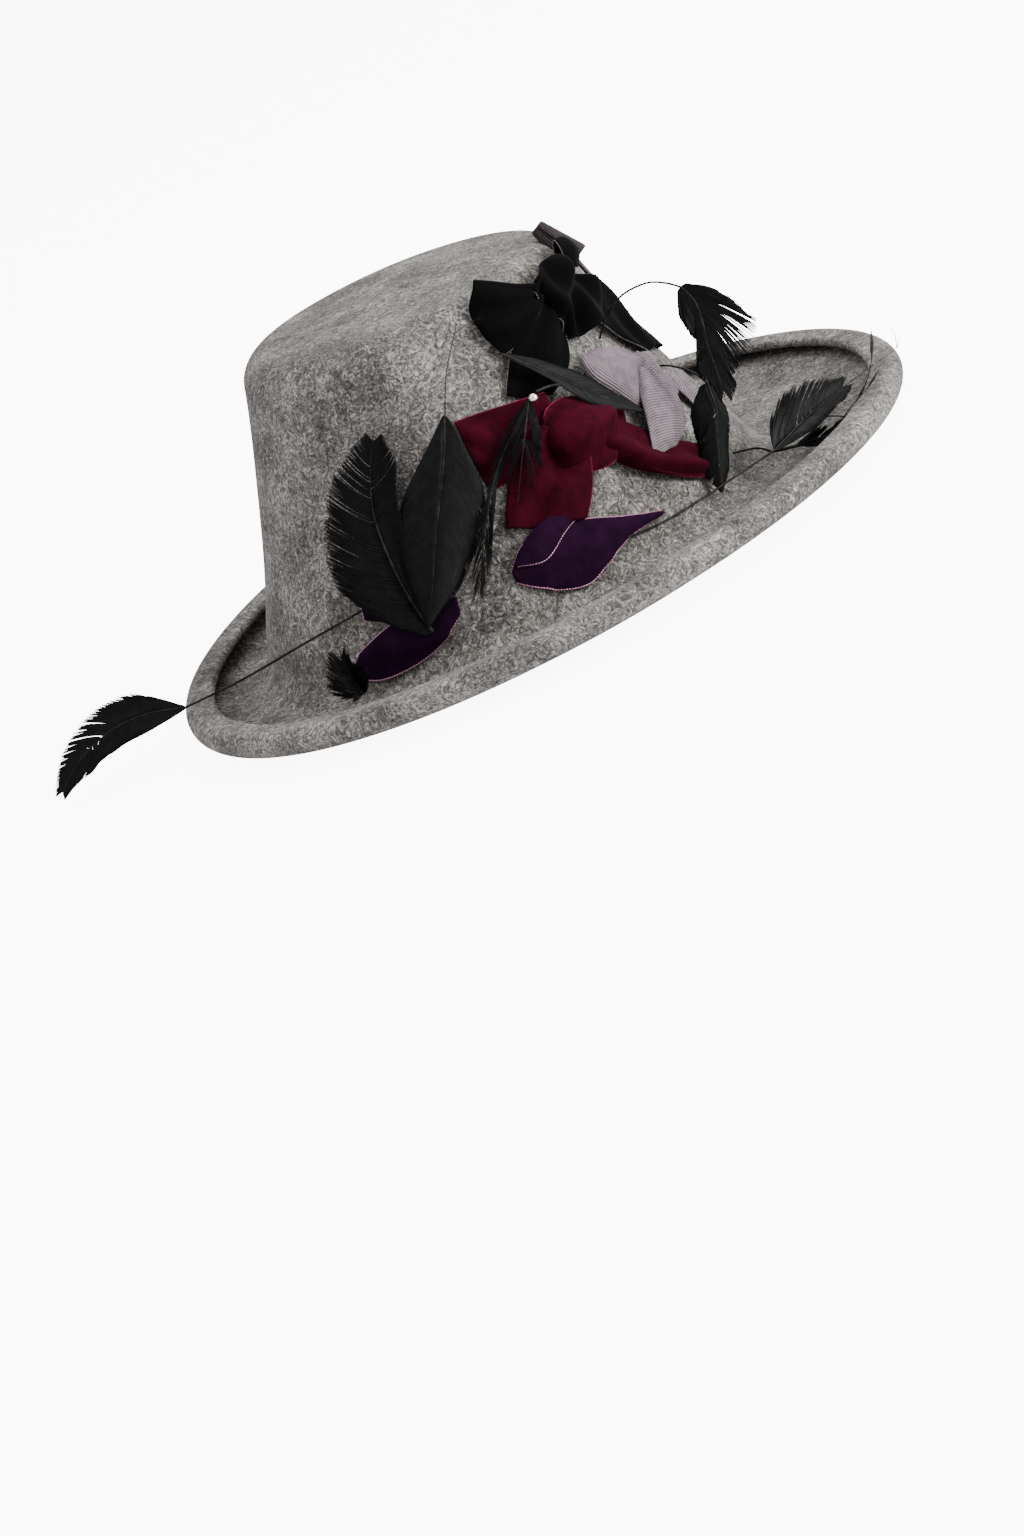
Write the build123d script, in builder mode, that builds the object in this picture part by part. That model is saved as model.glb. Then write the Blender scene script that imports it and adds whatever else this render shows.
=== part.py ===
"""Blocked wool-felt hat with a tapered oval crown, a rolled brim and a ribbon and feather trim.

Frame: millimetres, +Z up, brim standing on z = 0, front of the hat towards -Y, the wearer's
left towards +X. The origin is the middle of the head opening in the plane of the brim.
"""
from build123d import *
from math import cos, pi, radians, sin
import os

os.makedirs("parts", exist_ok=True)

# ---- felt body ---------------------------------------------------------------------------
FELT = 3.0                       # felt thickness
HEAD_X, HEAD_Y = 88.0, 102.0     # outer half axes of the crown where it leaves the flare
BASE_Z = 15.0                    # height of that line
TIP_X, TIP_Y = 57.5, 62.0        # half axes of the crown at the tip, before rounding
TIP_Z = 111.0                    # height of the tip
TIP_SHIFT = (1.0, -4.0)          # how far the tip stands off the middle of the head opening
TIP_ROUND = 9.0                  # radius of the rounded edge round the tip
HOLLOW = 0.29                    # how hollow the crown's side is, 0 for a straight cone
SLOPE = (-0.031, -0.020)         # fall of the crown's level lines towards +X and +Y
FLARE = 11.0                     # sweep of the crown out into the brim
FOOT_TURN = 14                   # turn of the flare, in degrees, where crown and brim meet
RIM_X, RIM_Y = 131.0, 159.0      # outer half axes of the brim
RIM_SHIFT = (11.0, 7.0)          # the brim is wider on the left and at the back
ROLL_R = 4.75                    # outer radius of the rolled edge
ROLL_Z = 10.0                    # height of the roll's middle
HEM_IN = 7.0                     # how far the turned edge reaches in from the roll's middle
FLAT_SHARE = 0.25                # share of the brim's width that is flat underneath
WIRE_R = 0.8                     # millinery wire inside the roll

# ---- inside ------------------------------------------------------------------------------
LINING_GAP, LINING_T = 0.15, 0.6
BAND_T, BAND_TOP = 1.2, 0.30     # sweatband thickness and the rise it reaches
LINING_TOP = 0.90

# ---- trim --------------------------------------------------------------------------------
VELVET, GROSGRAIN = 1.2, 0.8     # ribbon thicknesses
VANE = 1.0                       # thickness of a feather's vane
QUILL_R = 0.5                    # stem radius of the slim feathers


def blend(rise):
    """Share of the way from the base size to the tip size, for a hollow side."""
    return rise + HOLLOW * rise * (1 - rise)


def level_plane(x, y, z, tilt=1.0):
    """Plane of one level line of the crown."""
    normal = Vector(-SLOPE[0] * tilt, -SLOPE[1] * tilt, 1).normalized()
    return Plane(origin=(x, y, z), x_dir=(1, 0, SLOPE[0] * tilt), z_dir=normal)


def side_level(rise, inset=0.0):
    """Plane and half axes of the crown's side at a rise of 0 (base) to 1 (tip)."""
    share = blend(rise)
    plane = level_plane(TIP_SHIFT[0] * rise, TIP_SHIFT[1] * rise, BASE_Z + (TIP_Z - BASE_Z) * rise)
    return plane, HEAD_X + (TIP_X - HEAD_X) * share - inset, HEAD_Y + (TIP_Y - HEAD_Y) * share - inset


def flare_level(turn, inset=0.0):
    """Plane and half axes of the flare, at a turn of 0 (brim, level) to 90 degrees (upright)."""
    radius, foot_z = FLARE + inset, FELT - inset
    share = 1 - cos(radians(turn))
    z = foot_z + (BASE_Z - foot_z) * share
    reach = radius * (1 - sin(radians(turn))) - inset
    return level_plane(0, 0, z, share), HEAD_X + reach, HEAD_Y + reach


def tip_level(turn, inset=0.0):
    """Plane and half axes of the rounded edge, at a turn of 0 (upright) to 90 degrees (level)."""
    radius = TIP_ROUND - inset
    z = TIP_Z - TIP_ROUND + radius * sin(radians(turn))
    rise = (z - BASE_Z) / (TIP_Z - BASE_Z)
    plane, half_x, half_y = side_level(rise, TIP_ROUND - radius * cos(radians(turn)))
    return plane, half_x, half_y


def crown_point(angle, rise, out=0.0):
    """Point on the crown's outer side, out millimetres off the felt."""
    plane, half_x, half_y = side_level(rise, -out)
    a = radians(angle)
    return plane.from_local_coords(Vector(half_x * cos(a), half_y * sin(a), 0))


def wall_plane(angle, rise, out=0.0, lean=0.0, spin=0.0):
    """Plane lying on the crown's side: x to the right seen from outside, y up, z outwards."""
    across = (crown_point(angle + 1, rise) - crown_point(angle - 1, rise)).normalized()
    up = (crown_point(angle, rise + 0.02) - crown_point(angle, rise - 0.02)).normalized()
    outward = across.cross(up).normalized()
    plane = Plane(origin=crown_point(angle, rise) + outward * out, x_dir=across, z_dir=outward)
    return plane.rotated((lean, 0, spin))


def keep(piece, label):
    """Name a finished piece and write it out."""
    piece.part.label = label
    export_step(piece.part, f"parts/{label}.step")


# Half axes of the line where crown and brim meet.
FOOT_X, FOOT_Y = flare_level(FOOT_TURN)[1:]


# ---- felt crown: a blocked shell, in three rings above one another -----------------------------
FLARE_TURNS = (FOOT_TURN, 30, 46, 62, 76, 90)
TIP_TURNS = (0, 18, 36, 54, 72, 90)


def crown_solid(inset):
    """Solid inside the crown's surface, inset from the outside, with a straight foot below."""
    with BuildPart() as solid:
        lower = [flare_level(turn, inset) for turn in FLARE_TURNS]
        upper = [tip_level(turn, inset) for turn in TIP_TURNS]
        side = [lower[-1], side_level(0.45, inset), upper[0]]
        for levels, ruled in ((lower, True), (side, False), (upper, True)):
            for plane, half_x, half_y in levels:
                with BuildSketch(plane):
                    Ellipse(half_x, half_y)
            loft(ruled=ruled)
        with BuildSketch(lower[0][0]):
            Ellipse(*lower[0][1:])
        extrude(amount=-2 * FELT)
    return solid


with BuildPart() as crown_shell:
    add(crown_solid(0).part)
    add(crown_solid(FELT).part, mode=Mode.SUBTRACT)
    with BuildSketch(Plane.XY):
        Ellipse(RIM_X, RIM_Y)
    extrude(amount=-4 * FELT, mode=Mode.SUBTRACT)

# The flare is a piece of its own below the base line, and the tip above the rounded edge.
BASE_PLANE, TIP_PLANE = side_level(0)[0], tip_level(0)[0]

with BuildPart() as felt_crown:
    add(crown_shell.part)
    split(bisect_by=BASE_PLANE, keep=Keep.TOP)
    split(bisect_by=TIP_PLANE, keep=Keep.BOTTOM)
keep(felt_crown, "felt_crown")

with BuildPart() as felt_tip:
    add(crown_shell.part)
    split(bisect_by=TIP_PLANE, keep=Keep.TOP)
keep(felt_tip, "felt_tip")

with BuildPart() as felt_flare:
    add(crown_shell.part)
    split(bisect_by=BASE_PLANE, keep=Keep.BOTTOM)
keep(felt_flare, "felt_flare")


# ---- felt brim: shallow dish and rolled edge ---------------------------------------------------
def brim_level(share):
    """Centre and half axes of the brim, from the crown's foot (0) to the roll's middle (1)."""
    return (RIM_SHIFT[0] * share, RIM_SHIFT[1] * share,
            FOOT_X + (RIM_X - ROLL_R - FOOT_X) * share, FOOT_Y + (RIM_Y - ROLL_R - FOOT_Y) * share)


DISH_Z = ROLL_Z - ROLL_R         # height of the dish's underside where the roll starts


def dish(lift):
    """Solid above the dish's underside, lifted by lift."""
    with BuildPart() as solid:
        for share in (FLAT_SHARE, 0.65, 1.0):
            climb = ((share - FLAT_SHARE) / (1 - FLAT_SHARE)) ** 1.6
            x, y, half_x, half_y = brim_level(share)
            with BuildSketch(Plane((x, y, lift + DISH_Z * climb))):
                Ellipse(half_x, half_y)
        loft()
        x, y, half_x, half_y = brim_level(1.0)
        with BuildSketch(Plane((x, y, lift + DISH_Z))):
            Ellipse(half_x, half_y)
        extrude(amount=FELT)
    return solid


with BuildPart() as felt_brim:
    add(dish(0).part)
    add(dish(FELT).part, mode=Mode.SUBTRACT)
    with BuildSketch(Plane.XY):
        Ellipse(FOOT_X, FOOT_Y)
    extrude(amount=ROLL_Z, mode=Mode.SUBTRACT)
keep(felt_brim, "felt_brim")

with BuildPart() as felt_brim_edge:
    rim_x, rim_y, rim_half_x, rim_half_y = brim_level(1.0)
    with BuildLine(Plane((rim_x, rim_y, ROLL_Z))) as rim_line:
        EllipticalCenterArc((0, 0), rim_half_x, rim_half_y, arc_size=360)
    inner_r = ROLL_R - FELT
    with BuildSketch(Plane(origin=(rim_x + rim_half_x, rim_y, ROLL_Z), x_dir=(1, 0, 0), z_dir=(0, -1, 0))):
        with BuildLine():
            Line((0, -ROLL_R), (0, -inner_r))
            ThreePointArc((0, -inner_r), (inner_r, 0), (0, inner_r))
            Line((0, inner_r), (-HEM_IN, inner_r - 0.6))
            Line((-HEM_IN, inner_r - 0.6), (-HEM_IN, ROLL_R - 0.6))
            Line((-HEM_IN, ROLL_R - 0.6), (0, ROLL_R))
            ThreePointArc((0, ROLL_R), (ROLL_R, 0), (0, -ROLL_R))
        make_face()
    sweep(path=rim_line.line)
keep(felt_brim_edge, "felt_brim_edge")

with BuildPart() as brim_wire:
    wire_out = ROLL_R - FELT - WIRE_R - 0.05
    with BuildLine(Plane((rim_x, rim_y, ROLL_Z))) as wire_line:
        EllipticalCenterArc((0, 0), rim_half_x + wire_out, rim_half_y + wire_out, arc_size=360)
    with BuildSketch(Plane(origin=(rim_x + rim_half_x + wire_out, rim_y, ROLL_Z), z_dir=(0, -1, 0))):
        Circle(WIRE_R)
    sweep(path=wire_line.line)
keep(brim_wire, "brim_wire")


# ---- inside: lining, tip lining, sweatband and its bow ------------------------------------------
def inner_sleeve(low, high, inset, thickness):
    """Thin sleeve that follows the crown's side between two rises."""
    middle = (low + high) / 2
    with BuildPart() as sleeve:
        for depth, mode in ((inset, Mode.ADD), (inset + thickness, Mode.SUBTRACT)):
            with BuildPart(mode=Mode.PRIVATE) as core:
                for rise in (low, middle, high):
                    plane, half_x, half_y = side_level(rise, depth)
                    with BuildSketch(plane):
                        Ellipse(half_x, half_y)
                loft()
            add(core.part, mode=mode)
    return sleeve


lining_side = inner_sleeve(BAND_TOP + 0.01, LINING_TOP, FELT + LINING_GAP, LINING_T)
keep(lining_side, "lining_side")

sweatband = inner_sleeve(0.02, BAND_TOP, FELT + LINING_GAP, BAND_T)
keep(sweatband, "sweatband")

with BuildPart() as lining_tip:
    tip_plane, tip_half_x, tip_half_y = side_level(LINING_TOP + 0.005, FELT + LINING_GAP)
    with BuildSketch(tip_plane):
        Ellipse(tip_half_x, tip_half_y)
    extrude(amount=LINING_T)
keep(lining_tip, "lining_tip")

with BuildPart() as sweatband_bow:
    for turn_side in (-1, 1):
        with BuildSketch(wall_plane(90, 0.20, -FELT - LINING_GAP - BAND_T - 0.2)):
            with BuildLine():
                Polyline((0, 0), (turn_side * 9, 4), (turn_side * 9, -4), close=True)
            make_face()
        extrude(amount=-1.2)
    with BuildSketch(wall_plane(90, 0.20, -FELT - LINING_GAP - BAND_T - 0.2)):
        Rectangle(4, 3.4)
    extrude(amount=-1.8)
keep(sweatband_bow, "sweatband_bow")


# ---- ribbon trim ----------------------------------------------------------------------------
def ribbon(label, place, outline, thickness, taper=0.0):
    """Flat or puffed piece of ribbon lying on the crown's side, its outline given clockwise."""
    with BuildPart() as piece:
        with BuildSketch(wall_plane(*place)):
            with BuildLine():
                Polyline(*reversed(outline), close=True)
            make_face()
        extrude(amount=thickness, taper=taper)
    keep(piece, label)
    return piece


# place is (angle, rise, stand-off, lean)
ribbon("black_left_lobe", (346, 0.91, 1.0, 12),
       [(-4, 13), (15, 0), (7, -12), (-9, -12), (-11, -3)], 3.0, 20)
ribbon("black_lower_lobe", (345, 0.69, 1.0),
       [(-7, 10), (15, 5), (4, -14), (-18, -3)], VELVET)
ribbon("black_knot", (11, 0.86, 1.6),
       [(-8, 9), (13, 7), (15, -6), (2, -10), (-9, -7)], 6.0, 25)
ribbon("black_right_tail", (28, 0.62, 1.2),
       [(-5, 18), (10, 8), (14, -19), (-8, -8)], VELVET)
ribbon("black_small_loop", (20, 0.93, 3.0),
       [(-3, 4), (7, 4), (7, -5), (-3, -5)], 4.0, 15)
ribbon("brown_strip", (44, 0.83, 0.8),
       [(-5, 11), (4, 11), (4, -13), (-5, -13)], GROSGRAIN)
ribbon("burgundy_left_tail", (321, 0.53, 1.0),
       [(-7, 11), (14, 9), (9, -6), (-4, -19), (-8, -13)], VELVET)
ribbon("burgundy_lower_tail", (329, 0.29, 1.4),
       [(-5, 13), (14, 4), (6, -13), (-20, -5)], VELVET)
ribbon("burgundy_loop", (342, 0.45, 1.2),
       [(-8, 7), (5, 8), (8, -2), (2, -10), (-7, -6)], 8.0, 25)
ribbon("burgundy_knot", (352, 0.42, 1.2),
       [(-4, 6), (5, 5), (6, -5), (-4, -6)], 6.0, 20)
ribbon("burgundy_right_loop", (5, 0.19, 1.4),
       [(-16, 14), (-4, 8), (14, -6), (12, -11), (-6, -3), (-17, 8)], 4.0, 20)
ribbon("grey_loop", (7, 0.51, 2.4),
       [(-13, 11), (-2, 11), (10, 1), (4, -9), (-12, -2)], 5.0, 20)
ribbon("grey_knot", (19, 0.40, 1.4),
       [(-8, 6), (4, 4), (4, -5), (-8, -5)], 5.0, 20)
ribbon("grey_front_tail", (8, 0.25, 6.5),
       [(2, 12), (12, 8), (3, -11), (-7, -8)], GROSGRAIN)
ribbon("grey_back_tail", (31, 0.22, 1.4),
       [(-8, 11), (4, 12), (10, -10), (-3, -12)], GROSGRAIN)
ribbon("purple_right_leaf", (330, 0.07, 1.4),
       [(-26, 1), (-20, 7), (0, 10), (28, 0), (-2, -6), (-19, -5)], VELVET)
ribbon("purple_left_leaf", (286, 0.02, 1.6, 18),
       [(-23, -9), (-8, 0), (20, 5), (17, -3), (-5, -10)], VELVET)
ribbon("purple_square", (284, 0.20, 1.0),
       [(-8, 5), (6, 4), (9, -5), (3, -7), (-9, -6)], VELVET)

with BuildPart() as brown_loop:
    with BuildSketch(Plane(origin=(46.0, 36.4, 114.6), z_dir=(0.52, 0.10, -0.85))):
        Circle(4.4)
        Circle(3.2, mode=Mode.SUBTRACT)
    extrude(amount=19)
keep(brown_loop, "brown_loop")


# ---- feathers --------------------------------------------------------------------------------
def lens(base, tip, left, right):
    """Outline of a vane: two arcs from its base to its tip through its widest points."""
    with BuildLine() as outline:
        ThreePointArc(base, left, tip)
        ThreePointArc(tip, right, base)
    return outline


def wall_feather(label, place, base, tip, left, right, thickness=VANE):
    """Vane lying along the crown's side."""
    with BuildPart() as piece:
        with BuildSketch(wall_plane(*place)):
            add(lens(base, tip, left, right).line)
            make_face()
        extrude(amount=thickness)
    keep(piece, label)
    return piece


def stem_tube(points, radius):
    """Slim round stem through hand-set points, with rounded turns."""
    turns = [Vector(*p) for p in points]
    runs = [(b - a).length for a, b in zip(turns, turns[1:])]
    radii = []
    for before, at, after, run_in, run_out in zip(turns, turns[1:], turns[2:], runs, runs[1:]):
        half_turn = radians((at - before).get_angle(after - at) / 2)
        radii.append(0.45 * min(run_in, run_out) / (sin(half_turn) / cos(half_turn)))
    with BuildPart() as tube:
        with BuildLine() as path:
            FilletPolyline(*points, radius=radii)
        with BuildSketch(Plane(origin=path.line @ 0, z_dir=path.line % 0)):
            Circle(radius)
        sweep(path=path.line)
    return tube


def free_vane(base, tip, facing, bulge_left, bulge_right, thickness=VANE):
    """Vane in the air from base to tip, its flat side turned to facing."""
    start, run = Vector(*base), Vector(*tip) - Vector(*base)
    along = run.normalized()
    face = Vector(*facing)
    face = (face - along * face.dot(along)).normalized()
    half = run.length / 2
    with BuildPart() as vane:
        with BuildSketch(Plane(origin=start, x_dir=along, z_dir=face)):
            add(lens((0, 0), (run.length, 0), (half, bulge_left), (half, -bulge_right)).line)
            make_face()
        extrude(amount=thickness / 2, both=True)
    return vane


def stemmed_feather(label, points, tip, facing, bulge_left, bulge_right):
    """Feather with a bare stem along points, and a vane from its last point but one to tip."""
    with BuildPart() as piece:
        add(stem_tube(points, QUILL_R).part)
        add(free_vane(points[-2], tip, facing, bulge_left, bulge_right).part)
    keep(piece, label)
    return piece


wall_feather("curled_feather", (292, 0.41, 5.5, 4), (9, -35), (-1, 31), (-22, -2), (7, 0))
wall_feather("leaf_feather", (305, 0.38, 7.5, 4), (6, -32), (10, 30), (-14, -4), (12, -6))
wall_feather("pointed_feather", (353, 0.57, 8.0), (-20, 21), (18, -21), (-4, -6), (3, 6))
wall_feather("tuft_feather", (268, 0.02, 1.4, 14), (8, -10), (-6, 3), (-5, -6), (4, -1), 3.0)

with BuildPart() as feather_hook_wire:
    add(stem_tube([(72.5, -3.0, 62.0), (74.0, -19.0, 68.5), (73.0, -30.0, 73.5), (71.5, -36.5, 74.5)],
                  QUILL_R).part)
keep(feather_hook_wire, "feather_hook_wire")

BEAD = (70.8, -38.6, 73.2)
with BuildPart() as crimp_bead:
    with Locations(BEAD):
        Sphere(1.7)
keep(crimp_bead, "crimp_bead")

with BuildPart() as fringe_feather_short:
    add(free_vane((71.2, -39.8, 72.2), (72.5, -60.0, 42.0), (0.80, -0.50, 0.34), 5.5, 5.5).part)
keep(fringe_feather_short, "fringe_feather_short")

with BuildPart() as fringe_feather_long:
    add(free_vane((69.8, -39.8, 72.0), (60.5, -87.0, 24.0), (0.72, -0.60, 0.36), 4.0, 4.0).part)
keep(fringe_feather_long, "fringe_feather_long")

stemmed_feather("long_front_feather",
                [(11.0, -95.9, 31.2), (-15, -104, 26), (-42, -113, 20.5), (-66, -120, 17.8),
                 (-78, -126, 20.5), (-92, -134, 21.5)],
                (-117, -151, 6), (0.5, -0.5, 0.7), 9, 9)
stemmed_feather("long_back_feather",
                [(83.0, -38.0, 16.8), (86.5, -22.5, 13.8), (91.5, -4.0, 11.6), (97.5, 20, 11.2),
                 (104.8, 47, 14.5), (112, 74, 19.5), (116.5, 92, 22)],
                (121.0, 112.0, 25.0), (1, -0.4, 0.5), 4, 4)
stemmed_feather("arch_feather_upper",
                [(67.5, 10.8, 73.2), (73, 13, 80.0), (80.5, 15.5, 85.0), (91, 19.5, 86.5),
                 (99, 22, 81.5), (102, 23.6, 74.0)],
                (97.5, 22.0, 38.0), (0.55, -0.80, 0.1), 7, 8)
stemmed_feather("arch_feather_lower",
                [(69.0, 32.0, 54.5), (77, 34, 51.5), (84, 35, 46.0), (88, 34, 39.0)],
                (92.5, 21.5, 13.0), (0.65, -0.70, 0.2), 6, 7)
stemmed_feather("spray_feather",
                [(86.2, 29.4, 15.2), (93, 37, 12.4), (100, 44, 11.8), (107, 51, 12.4)],
                (121, 65, 15), (0.2, -0.1, 0.97), 6, 6)


# ---- tack stitches through the felt where the trim is sewn down -----------------------------------
TACKS = ((346, 0.86), (11, 0.80), (30, 0.70), (322, 0.50), (330, 0.30), (342, 0.42), (352, 0.40),
         (8, 0.48), (19, 0.36), (327, 0.12), (286, 0.14), (300, 0.08))
with BuildPart() as tack_stitches:
    for angle, rise in TACKS:
        with BuildSketch(wall_plane(angle, rise, 0.45)):
            Circle(0.4)
        extrude(amount=-(FELT + 0.2))
keep(tack_stitches, "tack_stitches")
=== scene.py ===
"""Grey wool-felt hat with a tapered oval crown and a rolled brim, trimmed in front of the left
side with velvet and grosgrain ribbon and black feathers.

Lengths are millimetres in the shape functions and become metres when a mesh is made.
"""

import bpy
import numpy as np
from mathutils import Matrix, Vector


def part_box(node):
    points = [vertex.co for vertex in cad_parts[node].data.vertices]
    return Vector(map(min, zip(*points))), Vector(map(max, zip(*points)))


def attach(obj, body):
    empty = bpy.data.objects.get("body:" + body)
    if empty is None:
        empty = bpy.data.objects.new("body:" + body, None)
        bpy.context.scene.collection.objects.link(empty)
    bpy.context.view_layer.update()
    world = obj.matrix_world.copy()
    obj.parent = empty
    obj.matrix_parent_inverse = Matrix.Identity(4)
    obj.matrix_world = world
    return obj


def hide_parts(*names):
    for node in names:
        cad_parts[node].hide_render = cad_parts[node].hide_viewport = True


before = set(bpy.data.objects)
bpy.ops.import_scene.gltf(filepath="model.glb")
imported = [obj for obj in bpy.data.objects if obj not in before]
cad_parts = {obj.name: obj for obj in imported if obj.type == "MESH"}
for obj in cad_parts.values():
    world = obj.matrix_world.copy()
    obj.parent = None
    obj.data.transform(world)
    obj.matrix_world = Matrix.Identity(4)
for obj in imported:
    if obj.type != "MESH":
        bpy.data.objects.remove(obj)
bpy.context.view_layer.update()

MM = 0.001
BOX = {name: np.array(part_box(name), float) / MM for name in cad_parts}

# ---- the hat block: the same sizes as the felt's CAD rings -------------------------------------
FELT = 3.0
HEAD = np.array([88.0, 102.0])
BASE_Z, TIP_Z = 15.0, 111.0
TIP = np.array([57.5, 62.0])
TIP_SHIFT = np.array([1.0, -4.0])
TIP_ROUND, TIP_DOME = 9.0, 1.6
HOLLOW = 0.29
SLOPE = np.array([-0.031, -0.020])
FLARE = 11.0
SIDE_RUN, FLARE_RUN, BRIM_RUN = 102.0, 18.0, 34.0
ROLL_LOW, ROLL_HIGH = BOX["felt_brim_edge"]
RIM_SHIFT = (ROLL_LOW + ROLL_HIGH)[:2] / 2
ROLL_R = (ROLL_HIGH - ROLL_LOW)[2] / 2
ROLL_Z = (ROLL_HIGH + ROLL_LOW)[2] / 2
ROLL_LINE = (ROLL_HIGH - ROLL_LOW)[:2] / 2 - ROLL_R
HEM_IN = 7.0
DISH_Z = ROLL_Z - ROLL_R
RIM_WAVE = (1.0, -1.5)
FELT_COLUMNS = 300


# ---- meshes from arrays ---------------------------------------------------------------------
def unit(v):
    """Vectors divided by their length."""
    return v / np.maximum(np.linalg.norm(v, axis=-1, keepdims=True), 1e-9)


def make_mesh(name, points, faces, lie=None):
    """Mesh from an (n, 3) array in millimetres and a list of (m, k) face arrays.

    The faces turn over together where the signed volume, a sixth of the sum of each corner's
    triple product, comes out below nought.
    """
    volume = sum(np.einsum("ij,ij->", points[f[:, 0]], np.cross(points[f[:, k]], points[f[:, k + 1]]))
                 for f in faces for k in range(1, f.shape[1] - 1))
    if volume < 0:
        faces = [f[:, ::-1] for f in faces]
    mesh = bpy.data.meshes.new(name)
    mesh.vertices.add(len(points))
    mesh.vertices.foreach_set("co", (points * MM).ravel())
    corners = np.concatenate([f.ravel() for f in faces]).astype(np.int32)
    sizes = np.concatenate([np.full(len(f), f.shape[1]) for f in faces])
    mesh.loops.add(len(corners))
    mesh.loops.foreach_set("vertex_index", corners)
    mesh.polygons.add(len(sizes))
    mesh.polygons.foreach_set("loop_start", np.concatenate([[0], np.cumsum(sizes)[:-1]]).astype(np.int32))
    mesh.polygons.foreach_set("use_smooth", np.ones(len(sizes), bool))
    mesh.update(calc_edges=True)
    if lie is not None:
        mesh.attributes.new("lie", "FLOAT_VECTOR", "POINT").data.foreach_set("vector", lie.ravel())
    return mesh


def piece(name, mesh, material, body, nodes=()):
    """Object that rides on a body, takes a slot's finish and stands for some CAD nodes."""
    obj = bpy.data.objects.new(name, mesh)
    bpy.context.scene.collection.objects.link(obj)
    mesh.materials.append(material)
    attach(obj, body)
    if nodes:
        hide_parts(*nodes)
    return obj


def grid_faces(rows, cols, first=0, wrap=False):
    """Quads between the points of a rows by cols grid, closed round the columns if wrapped."""
    i = np.arange(rows - 1)[:, None]
    j = np.arange(cols if wrap else cols - 1)[None, :]
    k = (j + 1) % cols
    return first + np.stack([i * cols + j, i * cols + k, (i + 1) * cols + k, (i + 1) * cols + j],
                            axis=-1).reshape(-1, 4)


def spline_weights(count, samples):
    """Catmull-Rom weights: each row blends the four given points round one sample."""
    t = np.linspace(0, count - 1, samples)
    k = np.clip(t.astype(int), 0, count - 2)
    f = t - k
    basis = 0.5 * np.stack([-f + 2 * f**2 - f**3, 2 - 5 * f**2 + 3 * f**3,
                            f + 4 * f**2 - 3 * f**3, -f**2 + f**3], axis=1)
    w = np.zeros((samples, count))
    row = np.arange(samples)
    for offset in range(4):
        at = k + offset - 1
        inside = np.clip(at, 0, count - 1)
        np.add.at(w, (row, inside), basis[:, offset])
        # past an end the line goes on straight: p[-1] = 2 p[0] - p[1]
        low, high = at < 0, at > count - 1
        np.add.at(w, (row[low], inside[low]), basis[low, offset])
        np.add.at(w, (row[low], inside[low] + 1), -basis[low, offset])
        np.add.at(w, (row[high], inside[high]), basis[high, offset])
        np.add.at(w, (row[high], inside[high] - 1), -basis[high, offset])
    return w


def smooth_line(points, samples):
    """Smooth line through given points."""
    points = np.array(points, float)
    return spline_weights(len(points), samples) @ points


def smooth_net(net, rows, cols):
    """Smooth surface through a small net of given points."""
    net = np.array(net, float)
    return np.einsum("ia,abk,jb->ijk", spline_weights(net.shape[0], rows), net,
                     spline_weights(net.shape[1], cols))


def run_length(line):
    """Distance along a line of points, from nought at its start."""
    steps = np.linalg.norm(np.diff(line, axis=0), axis=1)
    return np.concatenate([[0], np.cumsum(steps)])


def slab(name, grid, thick):
    """Closed cloth: the grid moved out and in by half the thickness along its normals.

    The thickness falls to under half at the cut edges, so that they are rounded.
    """
    rows, cols = grid.shape[:2]
    normal = unit(np.cross(np.gradient(grid, axis=0), np.gradient(grid, axis=1)))
    i = np.minimum(np.arange(rows), np.arange(rows)[::-1])[:, None]
    j = np.minimum(np.arange(cols), np.arange(cols)[::-1])[None, :]
    half = thick / 2 * (0.4 + 0.6 * np.clip(np.minimum(i, j) / 1.0, 0, 1))[..., None]
    points = np.concatenate([(grid + normal * half).reshape(-1, 3), (grid - normal * half).reshape(-1, 3)])
    n = rows * cols
    index = np.arange(n).reshape(rows, cols)
    rim = np.concatenate([index[0, :-1], index[:-1, -1], index[-1, :0:-1], index[:0:-1, 0]])
    next_rim = np.roll(rim, -1)
    front = grid_faces(rows, cols)
    faces = [front, front[:, ::-1] + n, np.stack([next_rim, rim, rim + n, next_rim + n], axis=1)]
    along = run_length(grid[:, cols // 2])[:, None] * np.ones((1, cols))
    across = run_length(grid[rows // 2])[None, :] * np.ones((rows, 1))
    lie = np.stack([along, across, 0 * along], axis=-1).reshape(-1, 3)
    return make_mesh(name, points, faces, np.concatenate([lie, lie]))


def tubes(name, sections, lie=None):
    """Closed tubes: an array of (tubes, stations, points round, 3), capped at both ends."""
    count, stations, sides = sections.shape[:3]
    one = grid_faces(stations, sides, wrap=True)
    caps = np.stack([np.arange(sides), (stations - 1) * sides + np.arange(sides)[::-1]])
    step = (np.arange(count) * stations * sides)[:, None, None]
    faces = [(one[None] + step).reshape(-1, 4), (caps[None, :, ::-1] + step).reshape(-1, sides)]
    return make_mesh(name, sections.reshape(-1, 3), faces, lie)


def tube_sections(line, radius, sides=8, flat=1.0):
    """Rings of radius round a line, squeezed to flat times that in the second direction."""
    tangent = unit(np.gradient(line, axis=0))
    aside = np.eye(3)[np.argmin(np.abs(tangent).mean(axis=0))]
    first = unit(np.cross(tangent, aside))
    second = np.cross(tangent, first)
    a = np.linspace(0, 2 * np.pi, sides, endpoint=False)
    r = np.broadcast_to(radius, len(line))[:, None, None]
    return line[:, None] + r * (np.cos(a)[None, :, None] * first[:, None]
                                + flat * np.sin(a)[None, :, None] * second[:, None])


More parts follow.
